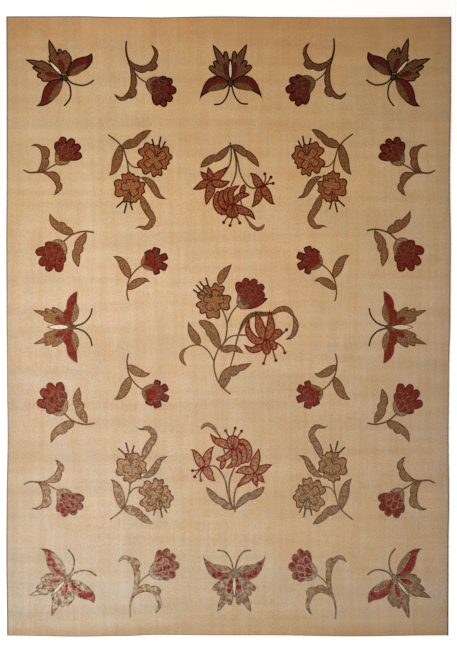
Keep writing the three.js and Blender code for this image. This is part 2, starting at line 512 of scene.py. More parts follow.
# Each silk's shades from the bottom end to the top: partly the dye, partly painted sheen that makes them
# paler towards the bottom end.
DARK_SHADES = [(0.09, "88684c"), (0.27, "5a3820"), (0.5, "472410"), (0.73, "301407"), (0.92, "1e0903")]
BROWN_SHADES = [
    (0.09, "957450"), (0.27, "7a5431"), (0.5, "83502b"), (0.63, "7a4724"), (0.73, "6c3e20"), (0.92, "442412"),
]
OLIVE_SHADES = [(0.09, "baae93"), (0.27, "908466"), (0.5, "706848"), (0.92, "5b5030")]
LEAF_SHADES = [
    (0.09, "9f7e5c"), (0.27, "a67d5b"), (0.42, "a1764f"), (0.5, "a4764e"), (0.6, "a37148"), (0.73, "98673c"),
    (0.92, "7a4b2c"),
]
RED_SHADES = [
    (0.09, "96342a"), (0.27, "91301e"), (0.5, "92311f"), (0.6, "8a2b18"), (0.73, "852814"), (0.92, "631f0e"),
]
CREAM_SHADES = [(0.09, "d8cdbb"), (0.5, "e6d3b9"), (0.92, "e7c6a1")]
BODY_SHADES = [(0.09, "9c8b70"), (0.5, "705a3e"), (0.92, "4a2e16")]
RED_FLECK = "a8847c"
CREAM_FLECK = "f0eae2"
dark_line = silk("dark_line", DARK_SHADES, 0.45)
brown_line = silk("brown_line", BROWN_SHADES, 0.45)
olive_line = silk("olive_line", OLIVE_SHADES, 0.2)
leaf_brown = silk("leaf_brown", LEAF_SHADES)
red_silk = silk("red_silk", RED_SHADES, 0.45, RED_FLECK)
cream_silk = silk("cream_silk", CREAM_SHADES, 0.3, CREAM_FLECK)
body_olive = silk("body_olive", BODY_SHADES, 0.3)
brown_leaf = (leaf_brown, brown_line)

# Knots: the widths of the outlines, and the least half-width of a form.
LINE = 3.7
LEAF_LINE = 3.1
FINE_LINE = 2.0
NARROWEST = 0.3

# The part of a layer by which one form of a kind lies over the next, so that no two faces share a plane.
HAIR = 0.12

# Shares of a half-width, the depth of a scalloped edge's notches, and of a length, the rows about each notch.
SCALLOP_DEPTH = 0.45
SOFT_SCALLOP = 0.25
NOTCH_ROWS = (-0.03, -0.01, 0, 0.01, 0.03)

# How finely curves and forms are stepped. Row lengths are in knots.
CURVE_STEPS = 12
WAY_SHARE = 0.02
BLADE_COLUMNS, BLADE_LEAST_ROWS, BLADE_ROW = 4, 10, 14
STRAND_COLUMNS, STRAND_LEAST_ROWS, STRAND_ROW = 2, 4, 6
TRIM_STEPS = (-1, -0.7, 0, 0.7, 1)
TRIM_TRIES = 200
RIM_CROWDING = 1.5
RIM_INSET, MIDDLE_INSET = 0.1, 0.45
AT_RIM = 0.99
DOT_SIDES = 8

drawn = []


def path_through(points):
    """A soft curve through a few given points. Gives the point at a share of its length and a distance
    to its right."""
    held = [points[0], *points, points[-1]]
    line = []
    for a, b, c, d in zip(held, held[1:], held[2:], held[3:]):
        for step in range(CURVE_STEPS):
            t = step / CURVE_STEPS
            weights = (2 * t**2 - t - t**3, 2 - 5 * t**2 + 3 * t**3, t + 4 * t**2 - 3 * t**3, t**3 - t**2)
            line.append([sum(w * p[i] for w, p in zip(weights, (a, b, c, d))) / 2 for i in (0, 1)])
    line.append(list(points[-1]))
    runs = [0]
    for a, b in zip(line, line[1:]):
        runs.append(runs[-1] + math.dist(a, b))
    length = runs[-1]

    def place(share):
        run = min(max(share, 0), 1) * length
        i = min(max(bisect.bisect_right(runs, run) - 1, 0), len(line) - 2)
        part = (run - runs[i]) / (runs[i + 1] - runs[i])
        return [between(p, q, part) for p, q in zip(line[i], line[i + 1])]

    def beside(share, aside):
        behind, ahead = place(share - WAY_SHARE), place(share + WAY_SHARE)
        way_x, way_y = [(q - p) / math.dist(behind, ahead) for p, q in zip(behind, ahead)]
        x, y = place(share)
        return x + way_y * aside, y - way_x * aside

    return beside, length


def finish_form(form, level, at_rim, yarn):
    """Sets a drawn form to its level, a little lower along its rim, and gives it its yarn."""
    drop = RIM_ROUNDING if level == 0 else LAYER_RISE / 2
    for vertex, low in zip(form.data.vertices, at_rim):
        vertex.co.z = FIGURE_LIFT + level * LAYER_RISE - drop * low
        vertex.co.x *= KNOT
        vertex.co.y *= KNOT
    form.data.materials.append(yarn)
    drawn.append(form)


def lay_grid(columns, rows, shape, yarn, level):
    """A form of rows and columns. Its shape says where each point lies, from its row and its place across."""
    deselect_all()
    bpy.ops.mesh.primitive_grid_add(x_subdivisions=columns, y_subdivisions=rows, size=1)
    form = bpy.context.object
    at_rim = []
    for vertex in form.data.vertices:
        column = round((vertex.co.x + 0.5) * columns)
        row = round((vertex.co.y + 0.5) * rows)
        at_rim.append(row in (0, rows) or column in (0, columns))
        vertex.co.x, vertex.co.y = shape(row, 2 * column / columns - 1)
    finish_form(form, level, at_rim, yarn)


def scallop(share, notches, depth):
    """How much of its width a scalloped edge keeps: round bumps that meet in sharp notches."""
    if not notches:
        return 1
    ends = [-notches[0], *notches, 2 - notches[-1]]
    i = min(bisect.bisect_right(ends, share), len(ends) - 1)
    aside = 2 * (share - ends[i - 1]) / (ends[i] - ends[i - 1]) - 1
    return 1 - depth * (1 - math.sqrt(max(1 - aside**2, 0)))


def trimmed_to(rim, trim, at, stretch):
    """How far an edge reaches once a line of a width is taken off all round it."""
    return min(rim(at + step * stretch) - trim * math.sqrt(1 - step**2) for step in TRIM_STEPS)


def lay_blade(
    points, left, right, yarn, level, base, tip, notches=((), ()), trim=0.0, depth=SCALLOP_DEPTH
):
    """A blade along a curve: its half-width on each side, how pointed its base and its tip are, the places of
    the notches in both edges, the line's width that it is trimmed by, and how deep the notches are."""
    beside, length = path_through(points)
    middle = base / (base + tip)
    fullest = middle**base * (1 - middle) ** tip

    def width(share, half, cuts):
        if not 0 < share < 1:
            return 0
        return half * share**base * (1 - share) ** tip / fullest * scallop(share, cuts, depth)

    def reach(share, half, cuts):
        if not trim:
            return width(share, half, cuts)
        return trimmed_to(lambda at: width(at, half, cuts), trim, share, trim / length)

    def edges_at(share):
        return -reach(share, left, notches[0]), reach(share, right, notches[1])

    start, stop = 0, 1
    if trim:
        tries = [i / TRIM_TRIES for i in range(TRIM_TRIES + 1)]
        inside = [share for share in tries if edges_at(share)[1] - edges_at(share)[0] > 4 * NARROWEST]
        if len(inside) < 3:
            return
        start, stop = inside[0], inside[-1]
    steps = BLADE_LEAST_ROWS + round(length / BLADE_ROW)
    shares = [between(start, stop, (1 - math.cos(math.pi * i / steps)) / 2) for i in range(steps + 1)]
    for notch in (*notches[0], *notches[1]):
        shares += [notch + aside for aside in NOTCH_ROWS]
    shares.sort()

    def shape(row, across):
        low, high = edges_at(shares[row])
        if high - low < 2 * NARROWEST:
            low, high = (low + high) / 2 - NARROWEST, (low + high) / 2 + NARROWEST
        spot = math.copysign(min(abs(across) * RIM_CROWDING, 1), across)
        return beside(shares[row], between(low, high, (1 + spot) / 2))

    lay_grid(BLADE_COLUMNS, len(shares) - 1, shape, yarn, level)


def leaf(
    points, left, right, base, tip, notches=((), ()), yarns=brown_leaf, level=0, line=LEAF_LINE,
    depth=SCALLOP_DEPTH,
):
    """A blade in the outline's yarn with the same one in its own yarn, trimmed by a line's width, on top."""
    fill, outline = yarns
    lay_blade(points, left, right, outline, level, base, tip, notches, 0, depth)
    lay_blade(points, left, right, fill, level + 1, base, tip, notches, line, depth)


def petal(points, half, yarns, level=0, base=0.9, tip=0.5, line=LINE):
    """A leaf with the same half-width on both sides and a fuller end."""
    leaf(points, half, half, base, tip, yarns=yarns, level=level, line=line)


def clump(parts, yarns=brown_leaf, level=0, line=LEAF_LINE):
    """Blades within one outline, like the lobes of a wing: each its spine, half-widths, base and tip."""
    fill, outline = yarns
    for i, (spine, left, right, base, tip) in enumerate(parts):
        lay_blade(spine, left, right, outline, level + i * HAIR, base, tip)
        lay_blade(spine, left, right, fill, level + 1 + i * HAIR, base, tip, trim=line)


def strand(points, width, yarn=brown_line, level=0.8, taper=0.0):
    """A stem, feeler or stamen, which narrows to its far end by its taper, or widens if that is negative."""
    beside, length = path_through(points)
    rows = max(STRAND_LEAST_ROWS, round(length / STRAND_ROW))

    def shape(row, across):
        return beside(row / rows, width / 2 * (1 - taper * row / rows) * across)

    lay_grid(STRAND_COLUMNS, rows, shape, yarn, level)


def lay_round(centre, shape, yarn, level, points):
    """A form round a centre. Its shape says how far it reaches at each turn."""
    deselect_all()
    bpy.ops.mesh.primitive_circle_add(vertices=points, radius=1, fill_type="NGON")
    form = bpy.context.object
    begin_edit(form, "FACE")
    bpy.ops.mesh.select_all(action="SELECT")
    bpy.ops.mesh.inset(thickness=RIM_INSET)
    bpy.ops.mesh.inset(thickness=MIDDLE_INSET)
    bpy.ops.mesh.poke()
    end_edit()
    at_rim = []
    for vertex in form.data.vertices:
        turn = math.atan2(vertex.co.y, vertex.co.x)
        at_rim.append(math.hypot(vertex.co.x, vertex.co.y) > AT_RIM)
        vertex.co.x = centre[0] + vertex.co.x * shape(turn)
        vertex.co.y = centre[1] + vertex.co.y * shape(turn)
    finish_form(form, level, at_rim, yarn)


def dot(centre, radius, yarn, level):
    lay_round(centre, lambda turn: radius, yarn, level, DOT_SIDES)


def turned(x, y, degrees):
    c, s = math.cos(math.radians(degrees)), math.sin(math.radians(degrees))
    return c * x - s * y, s * x + c * y


def turned_about(centre, heading, points):
    """Points given along and across a heading, as points of the figure."""
    spots = [turned(u, v, heading) for u, v in points]
    return [(centre[0] + x, centre[1] + y) for x, y in spots]


def gather_figure():
    """Joins what was drawn into one figure and lets its sides down into the pile."""
    deselect_all()
    for form in drawn:
        form.select_set(True)
    bpy.context.view_layer.objects.active = drawn[0]
    bpy.ops.object.join()
    figure = bpy.context.object
    drawn.clear()
    begin_edit(figure, "EDGE")
    bpy.ops.mesh.select_non_manifold()
    bpy.ops.mesh.extrude_edges_move()
    bpy.ops.transform.resize(value=(1, 1, 0), center_override=(0, 0, -SILK_DEPTH))
    bpy.ops.mesh.fill_holes(sides=0)
    bpy.ops.mesh.select_all(action="SELECT")
    bpy.ops.mesh.normals_make_consistent(inside=False)
    end_edit()
    bpy.ops.object.shade_smooth_by_angle(angle=math.radians(FIGURE_SMOOTH_ANGLE))
    return figure


def knot_in(kind, places):
    """Puts copies of the drawn figure on the pile. Each has its middle, its turn, whether it is mirrored, and
    its stretch across and along the rug, because no two that are knotted come out alike."""
    figure = gather_figure()
    for place, x_middle, y_middle, turn, mirrored, across, along in places:
        copy = bpy.data.objects.new(f"{kind}_{place}", figure.data.copy())
        bpy.context.scene.collection.objects.link(copy)
        for vertex in copy.data.vertices:
            x, y = turned(-vertex.co.x if mirrored else vertex.co.x, vertex.co.y, turn)
            x, y = x_middle + across * x, y_middle + along * y
            vertex.co = (x, y, FIELD_TOP + relief(x, y) + vertex.co.z)
        if mirrored:
            copy.data.flip_normals()
        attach(copy, "root")
    bpy.data.objects.remove(figure)


# Knots: a butterfly's own widths and half-widths. Its body has a finer outline, by this share of the wings'.
FEELER_WIDTH = 4.4
PATCH_HALF = 9
PANEL_HALF = 9.5
HEAD_HALF = 8
BODY_LINE = 0.75


def draw_butterfly(sides, feeler, abdomen, edge=(dark_line, LINE)):
    """A butterfly from above, its feelers towards +Y. Each side has the lobes of both its wings, and the
    spines of the brown panel and the red patch in them. The left side is seen in a mirror."""
    yarn, line = edge
    for side, (forewing, hindwing, panel, patch) in zip((1, -1), sides):
        def flip(points):
            return [(side * x, y) for x, y in points]

        def lobes(blades):
            return [(flip(spine), half, half, root, end) for spine, half, root, end in blades]

        strand(flip(feeler), FEELER_WIDTH, dark_line)
        clump(lobes(hindwing), (leaf_brown, yarn), 0, line)
        petal(flip(patch), PATCH_HALF, (red_silk, olive_line), 2, base=0.7, line=FINE_LINE)
        clump(lobes(forewing), (red_silk, yarn), 2, line)
        petal(flip(panel), PANEL_HALF, (leaf_brown, olive_line), 4, base=0.7, tip=0.8, line=FINE_LINE)
    line *= BODY_LINE
    petal([(0, -5), (0, -30), (0, -67)], abdomen, (cream_silk, yarn), 6, base=0.8, tip=0.9, line=line)
    petal([(0, -8), (0, 1), (0, 12)], HEAD_HALF, (body_olive, yarn), 8, base=0.5, tip=0.5, line=line)


swept_side = (
    [([(3, 1), (22, 2), (42, 1), (58, 9), (67, 19), (78, 32), (85, 47)], 19.5, 0.75, 1.6)],
    [
        ([(6, -8), (14, -38), (27, -66), (46, -103)], 12.5, 0.6, 0.8),
        ([(5, -8), (9, -43), (12.6, -85)], 8, 0.8, 0.35),
        ([(8, -8), (25, -32), (44, -59)], 8.5, 0.9, 0.35),
        ([(8, -6), (32, -24), (57, -45)], 9, 0.9, 0.35),
        ([(5, -3), (20, -24), (39, -47)], 16, 0.6, 0.4),
    ],
    [(10, 4), (28, 10), (43, 14), (62, 22)],
    [(7, -8), (11, -30), (15, -56)],
)
draw_butterfly([swept_side, swept_side], feeler=[(3, 8), (7, 27), (16, 46), (28, 57), (46, 59)], abdomen=6.2)
knot_in("butterfly", [
    ("top_middle", 0.013, 1.671, 181, False, 1, 1),
    ("bottom_middle", 0.038, -1.687, 0, False, 1, 1.03),
])
long_side = (
    [([(5, 0), (27, 0), (48, 3), (71, 11), (90, 14), (110, 8)], 20.5, 0.9, 1.35)],
    [
        ([(6, -8), (12, -38), (24, -68), (43.5, -106)], 11.5, 0.6, 0.8),
        ([(5, -8), (11, -42), (19, -79)], 8.5, 0.8, 0.4),
        ([(8, -8), (26, -38), (43.5, -79)], 8, 0.9, 0.5),
        ([(8, -6), (28, -28), (50, -54)], 9, 0.8, 0.3),
        ([(8, -5), (28, -20), (49, -39)], 8.5, 0.8, 0.35),
        ([(5, -3), (22, -26), (42, -50)], 17, 0.6, 0.4),
    ],
    [(12, 4), (29, 10), (52, 17), (77, 20)],
    [(7, -8), (18, -26), (30, -45)],
)
short_side = (
    [([(5, 0), (27, 0), (45, -1), (66, 4), (83, 5), (99, -2)], 19.5, 0.95, 1)],
    [
        ([(6, -8), (11, -36), (20, -64), (39.5, -106)], 12, 0.6, 0.8),
        ([(5, -8), (8, -40), (12, -73)], 8.5, 0.8, 0.4),
        ([(10, -8), (26, -36), (42.5, -69)], 7.5, 1, 0.35),
        ([(10, -6), (32, -29), (51.5, -56)], 7.5, 1, 0.35),
        ([(10, -6), (32, -20), (50.5, -38)], 8, 1, 0.35),
        ([(6, -5), (24, -27), (44, -55)], 19, 0.7, 0.28),
    ],
    [(14, 5), (40, 9), (68, 11)],
    [(7, -8), (15, -26), (23, -49)],
)
draw_butterfly([long_side, short_side], feeler=[(3, 8), (5, 26), (20, 47), (36, 55), (53, 57)], abdomen=6)
knot_in("butterfly", [
    ("top_left", -1.124, 1.704, -138, False, 1.02, 0.98),
    ("top_right", 1.130, 1.708, 138, True, 0.96, 1.01),
    ("bottom_left", -1.102, -1.722, -43, True, 1, 0.99),
    ("bottom_right", 1.137, -1.723, 41, False, 0.96, 1.03),
])
wavy_side = (
    [
        ([(4, -4), (24, -4), (53, -1)], 20, 0.75, 0.5),
        ([(22, -2), (48, 0), (68, 1), (84, 7), (99, 16)], 14.5, 0.6, 0.85),
    ],
    [
        ([(6, -8), (22, -38), (35, -70), (47, -105)], 10.5, 0.6, 0.9),
        ([(5, -10), (14, -42), (24, -76)], 8, 0.8, 0.4),
        ([(12, -20), (32, -44), (50, -73)], 7.5, 0.7, 0.4),
        ([(12, -10), (34, -28), (53.5, -53)], 8, 0.7, 0.4),
        ([(5, -4), (22, -22), (40, -44)], 15, 0.6, 0.4),
    ],
    [(10, 1), (30, 9), (48, 12), (67, 11)],
    [(6, -12), (16, -27), (28, -45)],
)
draw_butterfly(
    [wavy_side, wavy_side],
    feeler=[(3, 9), (7, 24), (15, 38), (32, 51), (52, 56)],
    abdomen=8,
    edge=(brown_line, 2.8),
)
knot_in("butterfly", [
    ("side_left", -1.076, -0.004, -90, False, 0.99, 0.98),
    ("side_right", 1.099, -0.005, 90, True, 0.97, 0.99),
])


# The tulip sprigs: a full tulip head on a bent stem with two leaves, in three kinds. Rows of rounded crimson
# petals with thin olive lines between them sit in a brown calyx, the nearer petals clipped over the farther.
# Paler towards the bottom end partly as painted sheen, like every silk.
TAN_SHADES = [(0.09, "a08c74"), (0.5, "b08a60"), (0.63, "ac8258"), (0.79, "a2734a"), (0.92, "745034")]
calyx_tan = silk("calyx_tan", TAN_SHADES)
CALYX_HALF = 7.4
THROAT = [(6, 0), (30, 0), (56, 0)]
THROAT_HALF = 25

# The outer petals bend out of the calyx: the share of their angle at the root, and where they bend.
ROOT_TURN = 0.4
ROOT_BEND, TIP_BEND = 0.35, 0.75

# Where the inner petals and the small ones start, as shares of their reach from the head's base.
INNER_ROOT = 0.4
SMALL_ROOT = 0.26


def tulip(base, heading, calyx, outer, inner, small, line=LINE, rim=dark_line):
    """A tulip head on its calyx. Each petal has its angle from the heading, its length and its half-width."""
    throat = turned_about(base, heading, THROAT)
    lay_blade(throat, THROAT_HALF, THROAT_HALF, red_silk, 1, 0.45, 0.4)
    for i, (angle, length, half) in enumerate(outer):
        root = turned_about(base, heading + angle * ROOT_TURN, [(4, 0), (length * ROOT_BEND, 0)])
        end = turned_about(base, heading + angle, [(length * TIP_BEND, 0), (length, 0)])
        petal(root + end, half, (red_silk, rim), 2 + 2 * (i % 2) + i * HAIR, base=1.0, tip=0.36, line=line)
    for level, petals, start in ((7, inner, INNER_ROOT), (11, small, SMALL_ROOT)):
        for i, (angle, length, half) in enumerate(petals):
            reach = [(length * start, 0), (length * (1 + start) / 2, 0), (length, 0)]
            spine = turned_about(base, heading + angle, reach)
            petal(spine, half, (red_silk, olive_line), level + 2 * (i % 2), base=0.6, tip=0.4, line=FINE_LINE)
    cup = turned_about(base, heading, calyx)
    petal(cup, CALYX_HALF, (calyx_tan, brown_line), 15, base=0.5, tip=0.5, line=FINE_LINE)


strand([(-56, 97), (-57, 75), (-54, 56), (-45, 30)], 4.5, taper=-0.6)
strand([(-45, 27), (-32, 11), (-19, -4), (1, -16)], 3.5)
upper_curl = [(-51, 49), (-34, 33), (-11.5, 27), (7.5, 34), (19, 51), (23, 67), (12, 87)]
lower_curl = [(-47, 38), (-41, 6), (-41, -15), (-45, -33), (-54, -47), (-70, -57), (-89, -46)]
clump([
    (upper_curl, 4, 13, 0.6, 0.7),
    ([(-36, 32), (-18, 20), (3, 20)], 10, 9, 0.4, 0.4),
    ([(-2, 24), (14, 26), (27, 38)], 10, 11, 0.5, 0.35),
])
clump([
    (lower_curl, 13, 4, 0.5, 0.6),
    ([(-39, 20), (-36, -8), (-36, -32)], 9, 8, 0.6, 0.4),
    ([(-35, -30), (-36, -44), (-50, -56)], 9, 10, 0.4, 0.4),
])
tulip(
    base=(1, -16),
    heading=-25,
    outer=[(36, 56, 11), (28, 71, 11.5), (9, 84, 13), (-9, 84, 12.5), (-25, 82, 11), (-36, 68, 11.5)],
    inner=[(24, 52, 9.5), (7, 61, 9.5), (-10, 62, 9.5), (-26, 57, 9.5)],
    small=[(26, 34, 8.5), (3, 38, 9), (-22, 37, 9)],
    calyx=[(26, 27), (12, 17), (3, 2), (10, -9), (28, -22)],
)
knot_in("curl_tulip", [
    ("top_left", -0.561, 1.708, 0, False, 0.98, 1),
    ("top_right", 0.587, 1.719, 1, True, 0.96, 1.02),
    ("bottom_left", -0.538, -1.734, 181, True, 0.97, 1.04),
    ("bottom_right", 0.600, -1.740, 180, False, 0.92, 1.06),
])
strand([(-74, -12.5), (-58, -20), (-40, -19), (-27, -19)], 4, taper=-0.4)
strand([(-32, -19), (-14, -12.5), (-1, -4.5), (15.5, 4)], 4)
upper_leaf = [(-39, -19), (-30, -8), (-24, 5.5), (-22, 20), (-23, 34), (-29, 46), (-40, 53), (-54, 53)]
lower_leaf = [(-30, -20), (-15, -22), (-2, -31), (9, -42), (15, -55), (17, -67), (13, -75), (4.5, -81)]
clump([
    (upper_leaf, 4, 11, 0.7, 0.8),
    ([(-28, 50), (-13, 40), (-13, 17)], 9, 9, 0.45, 0.35),
    ([(-14, 20), (-14, 2), (-27, -14)], 8, 8, 0.35, 0.7),
])
clump([
    (lower_leaf, 10, 4, 0.7, 0.8),
    ([(-20, -22), (8, -24), (20, -46)], 8, 9, 0.9, 0.35),
    ([(19, -45), (22, -60), (10, -76)], 8, 7, 0.4, 0.6),
])
tulip(
    base=(15.5, 5),
    heading=52,
    outer=[(36, 60, 9.5), (24, 75, 11.3), (5, 80, 11.7), (-12, 79, 12.2), (-31, 70, 11.7)],
    inner=[(26, 48, 8.7), (10, 58, 9.2), (-8, 58, 9.2), (-26, 50, 9.6)],
    small=[(28, 34, 8.5), (0, 36, 9), (-24, 36, 9)],
    calyx=[(23, 15), (10, 7), (4, -1), (10, -11), (22, -23)],
)
knot_in("side_tulip", [
    ("upper_left", -1.215, 1.104, 0, False, 1.02, 0.99),
    ("upper_right", 1.229, 1.101, 0, True, 0.98, 1),
    ("lower_left", -1.205, -1.112, 180, True, 1.05, 0.97),
    ("lower_right", 1.226, -1.106, 180, False, 0.99, 1.04),
])
strand([(80, 26), (65, 29), (49, 29), (29, 24), (15, 17), (-4.5, 0)], 4.5)
upper_leaf = [(24, 22), (7.5, 31), (-7, 39), (-21, 47), (-32, 57), (-40, 78)]
lower_leaf = [(59, 27), (50, 9.5), (40, -7.5), (35, -23), (33, -41), (38, -67)]
leaf(upper_leaf, 14, 16, 0.6, 1.0, ((), (0.28, 0.56)))
leaf(lower_leaf, 15.5, 17, 0.8, 0.9, ((0.35, 0.62), (0.5,)))
tulip(
    base=(-3, -3),
    heading=230,
    outer=[(-41, 50, 12), (-30, 79, 12.5), (-8, 86, 13), (9, 86, 12), (29, 78, 13), (36, 52, 11)],
    inner=[(-27, 52, 11), (-8, 60, 10.5), (10, 60, 10), (30, 54, 10.5)],
    small=[(-30, 34, 9.5), (2, 38, 10), (32, 35, 9.5)],
    calyx=[(22, 25), (9, 13), (2, -1), (5, -14), (16, -26)],
    line=2.6,
)
knot_in("leaf_tulip", [
    ("upper_left", -1.125, 0.576, 0, False, 1, 1.01),
    ("upper_right", 1.145, 0.587, 0, True, 0.98, 1.05),
    ("lower_left", -1.118, -0.592, 180, True, 0.99, 1.05),
    ("lower_right", 1.141, -0.594, 180, False, 0.95, 1.01),
])


# The blossom sprays: two open flowers in rust silk on one branching stem, each with cleft petals, a small
# dark-rimmed flower in its middle and three long stamens, among four leaves.
# Paler towards the bottom end partly as painted sheen, like every silk.
RUST_SHADES = [(0.09, "ba966f"), (0.27, "ba8356"), (0.5, "b6774a"), (0.74, "ac6037"), (0.92, "9a5029")]
DUSTY_SHADES = [(0.27, "b0855a"), (0.5, "b07a4b"), (0.74, "ad6d3f"), (0.92, "9e663a")]
DULL_SHADES = [(0.27, "60503a"), (0.5, "483820"), (0.74, "352310"), (0.92, "2e2012")]
rust_silk = silk("rust_silk", RUST_SHADES)
dusty_silk = silk("dusty_silk", DUSTY_SHADES)
dull_line = silk("dull_line", DULL_SHADES, 0.2)

# How full a petal's end is, the depth of its cleft as a share of its reach, and the cleft's width as a share
# of its half-angle. The other sizes are in knots, the softening of the nooks between petals in radians.
PETAL_FULLNESS = 0.4
PETAL_CLEFT = 0.17
CLEFT_WIDTH = 0.3
PETAL_LINE = 3.6
BLOSSOM_POINTS = 144
BLOSSOM_REACH = 42
NOOK_SOFTENING = 0.045
ARM_HALF = 11.5
ARM_LINE = 2.6
THREAD_WIDTH = 2.2
THREAD_END_WIDTH = 4.6


def blossom(centre, core, petals, arms, stamens):
    """An open flower about a core. Each petal has its heading, reach and half-angle, each arm of the small
    flower on it its heading and reach, and each stamen its root, its bend and its end."""

    def sharp_rim(turn):
        reaches = [core]
        for heading, reach, half_angle in petals:
            aside = abs((math.degrees(turn) - heading + 180) % 360 - 180) / half_angle
            if aside < 1:
                cleft = 1 - PETAL_CLEFT * math.exp(-((aside / CLEFT_WIDTH) ** 2))
                reaches.append(reach * (1 - aside**3) ** PETAL_FULLNESS * cleft)
        return max(reaches)

    def rim(turn):
        return sum(sharp_rim(turn + step) for step in (-NOOK_SOFTENING, 0, NOOK_SOFTENING)) / 3

    def inside(turn):
        return trimmed_to(rim, PETAL_LINE, turn, PETAL_LINE / BLOSSOM_REACH)

    lay_round(centre, rim, dark_line, 0, BLOSSOM_POINTS)
    lay_round(centre, inside, rust_silk, 1, BLOSSOM_POINTS)
    for level, trim, yarn in ((2, 0, dull_line), (3, ARM_LINE, dusty_silk)):
        for i, (heading, reach) in enumerate(arms):
            spine = turned_about(centre, heading, [(-4, 0), (reach / 2, 0), (reach, 0)])
            lay_blade(spine, ARM_HALF, ARM_HALF, yarn, level + i * HAIR, 0.5, 0.2, trim=trim)
    for root, start, end in stamens:
        strand([root, start], THREAD_WIDTH, dull_line, 4)
        strand([start, end], THREAD_END_WIDTH, dark_line, 4)


strand([(-95, 128), (-78, 116), (-65, 105), (-53, 89), (-46, 68), (-41, 48), (-39, 22)], 4)
strand([(-44, 61), (-32, 45), (-21, 40), (-8, 39)], 3.5)
long_leaf = [(-58, 93), (-40, 101), (-23, 108), (-7, 119), (8.5, 132), (24, 140)]
leaf(long_leaf, 15.5, 15, 0.6, 0.85, ((0.43,), (0.6,)))
leaf([(-61, 102), (-65, 78), (-70, 59), (-75, 40), (-82, 27), (-93, 17)], 14.5, 14, 0.8, 1.0)
leaf([(-8, 12.5), (5.5, 9), (22, -3), (34, -21), (44, -37), (65, -46)], 10.5, 11, 0.9, 1.1)
curled_leaf = [(-4, -34), (3, -56), (15, -76), (25, -96), (22, -113), (8, -124), (-9, -120), (-23, -126)]
leaf(curled_leaf, 13, 14, 0.7, 1.2, ((0.34,), (0.55,)))
blossom(
    centre=(31, 62),
    core=31,
    petals=[(134, 54, 38), (217, 53, 42), (281, 53, 29), (333, 47, 28), (24, 54, 38), (84, 45, 30)],
    arms=[(128, 32), (216, 32), (302, 32), (23, 35)],
    stamens=[
        ((36, 68), (30, 98), (25, 117)), ((39, 68), (44, 98), (49, 123)), ((41, 67), (52, 91), (62, 110)),
    ],
)
blossom(
    centre=(-33, -14),
    core=30,
    petals=[(110, 47, 30), (66, 41, 33), (358, 44, 38), (302, 47, 32), (259, 48, 30), (184, 51, 50)],
    arms=[(98, 23), (22, 27), (306, 27), (174, 27)],
    stamens=[
        ((-38, -26), (-52, -50), (-72, -68)), ((-36, -28), (-44, -58), (-51, -84)),
        ((-33, -26), (-34, -58), (-28, -76)),
    ],
)
knot_in("blossom_spray", [
    ("upper_left", -0.588, 0.988, 0, False, 0.99, 1),
    ("upper_right", 0.623, 0.994, 0, True, 0.94, 1),
    ("lower_left", -0.577, -1.003, 180, True, 0.98, 0.98),
    ("lower_right", 0.628, -0.997, 180, False, 0.92, 1),
])


# The lily sprays: three open lilies in pale rust silk, freckled and rimmed with crimson, on thin stems from a
# pair of leaves, with stamens that end in round anthers.
# Paler towards the bottom end partly as painted sheen, like every silk.
LILY_SHADES = [(0.27, "b87c54"), (0.5, "ae683d"), (0.74, "a65f36"), (0.92, "8e4826")]
CRIMSON_SHADES = [(0.27, "8c241c"), (0.5, "7c1210"), (0.74, "6c0a06"), (0.92, "600804")]
lily_silk = silk("lily_silk", LILY_SHADES)
crimson_line = silk("crimson_line", CRIMSON_SHADES, 0.2)
LILY_LINE = 3.8
FRECKLES = [(0.3, -0.25), (0.45, 0.3), (0.6, -0.2), (0.72, 0.15)]
FRECKLE_RADIUS = 1.9
STAMEN_WIDTH = 3.6
ANTHER_RADIUS = 4.6
ANTHER_HEART = 3.2
FILAMENT_WIDTH = 2
LILY_HEART = 4.5


def lily_petal(points, half, level=0, tip=1.0):
    leaf(points, half, half, 0.55, tip, yarns=(lily_silk, crimson_line), level=level, line=LILY_LINE)
    beside = path_through(points)[0]
    for share, aside in FRECKLES:
        dot(beside(share, aside * half), FRECKLE_RADIUS, dark_line, level + 2)


def stamen(points, level=6):
    strand(points, STAMEN_WIDTH, crimson_line, level)
    dot(points[-1], ANTHER_RADIUS, crimson_line, level + 1)
    dot(points[-1], ANTHER_HEART, dark_line, level + 2)


left_leaf = [(-4.5, 110), (-21, 90), (-38, 77), (-56, 70), (-72, 61), (-86, 48)]
right_leaf = [(-5, 107), (16, 100), (33, 89), (47, 79), (60, 67), (74, 49)]
leaf(left_leaf, 14, 14, 0.9, 0.75, ((0.62,), (0.46,)))
leaf(right_leaf, 14, 13, 0.7, 0.8, ((0.42,), (0.56,)))
strand([(-5, 116), (-4, 102)], 4.5, level=2)
strand([(-3, 102), (-2, 80), (-6, 58), (-16, 39)], 4.2, level=2)
strand([(2.5, 102), (9.5, 76), (11.5, 47), (8, 24), (-4, -4)], 4.2, level=2)
strand([(5, 100), (15, 67), (22, 33), (37, 5.5), (53, -7), (67, -6.5)], 4.2, level=2)
strand([(23, -40), (28, -58), (35, -82), (43, -96)], 4)
low_leaf = [(37, -84), (52, -107), (68, -118), (80, -115), (89, -104)]
leaf(low_leaf, 5.5, 5.5, 0.9, 0.6, line=FINE_LINE)
lily_petal([(-56, 12), (-73, 24), (-87, 39)], 10, 0)
lily_petal([(-56, 10), (-60, 30), (-66, 51)], 10, 2)
lily_petal([(-54, 11), (-77, 3), (-92, -5), (-108, -11)], 12, 2)
lily_petal([(-57, 8), (-36, 28), (-23, 38), (-12, 52)], 11.5, 4)
lily_petal([(-56, 14), (-59, -12.5), (-65, -30), (-71, -55)], 13.5, 6)
lily_petal([(-58, 10), (-38, 4.5), (-21, 5), (-5, 12)], 12.5, 8)
